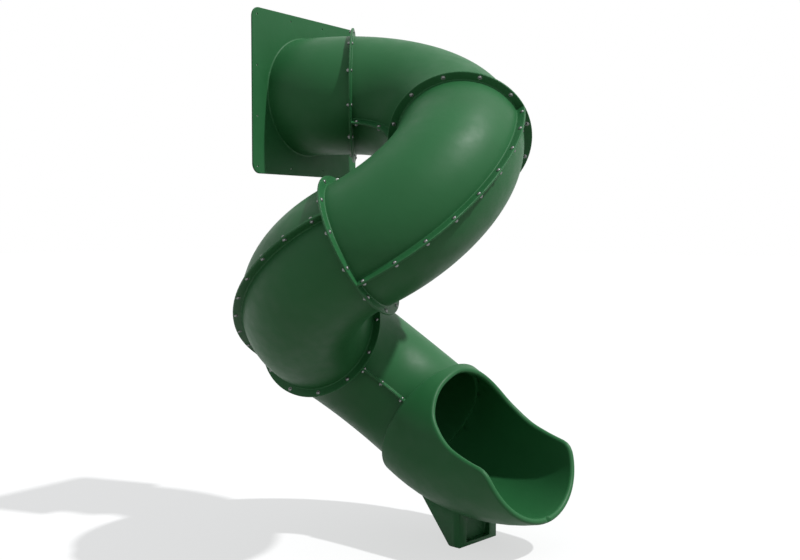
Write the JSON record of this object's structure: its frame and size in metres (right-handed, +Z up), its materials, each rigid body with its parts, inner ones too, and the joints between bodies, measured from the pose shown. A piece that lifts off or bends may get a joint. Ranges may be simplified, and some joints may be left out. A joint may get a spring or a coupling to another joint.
{
  "type": "tube slide",
  "caption": "Enclosed playground spiral tube slide: square entrance panel with a short throat, bolted half-shell elbows winding down, and an open double-walled exit scoop on a level foot.",
  "frame": {"origin": "centre of the tube entrance on the back face of the panel, where it meets the deck frame", "axes": "+Z up, +Y towards the deck, so the tube leaves along -Y; +X to the right of someone facing the panel's front from below, in the panel's plane"},
  "size_m": [1.5824, 1.6045, 2.91],
  "materials": {
    "green_plastic": "satin, finely grained as moulded",
    "zinc_steel": "bright zinc plated"
  },
  "bodies": {
    "root": {"entry_panel": "green_plastic", "elbow_1_upper": "green_plastic", "elbow_1_lower": "green_plastic", "elbow_2_upper": "green_plastic", "elbow_2_lower": "green_plastic", "elbow_3_upper": "green_plastic", "elbow_3_lower": "green_plastic", "elbow_4_upper": "green_plastic", "elbow_4_lower": "green_plastic", "exit_scoop": "green_plastic", "exit_inserts": "zinc_steel", "exit_bolts": "zinc_steel", "exit_washers": "zinc_steel", "joint_1_bolts": "zinc_steel", "joint_1_washers": "zinc_steel", "joint_1_nuts": "zinc_steel", "joint_2_bolts": "zinc_steel", "joint_2_washers": "zinc_steel", "joint_2_nuts": "zinc_steel", "joint_3_bolts": "zinc_steel", "joint_3_washers": "zinc_steel", "joint_3_nuts": "zinc_steel", "joint_4_bolts": "zinc_steel", "joint_4_washers": "zinc_steel", "joint_4_nuts": "zinc_steel", "seam_1_bolts": "zinc_steel", "seam_1_washers": "zinc_steel", "seam_1_nuts": "zinc_steel", "seam_2_bolts": "zinc_steel", "seam_2_washers": "zinc_steel", "seam_2_nuts": "zinc_steel", "seam_3_bolts": "zinc_steel", "seam_3_washers": "zinc_steel", "seam_3_nuts": "zinc_steel", "seam_4_bolts": "zinc_steel", "seam_4_washers": "zinc_steel", "seam_4_nuts": "zinc_steel"}
  },
  "joints": []
}
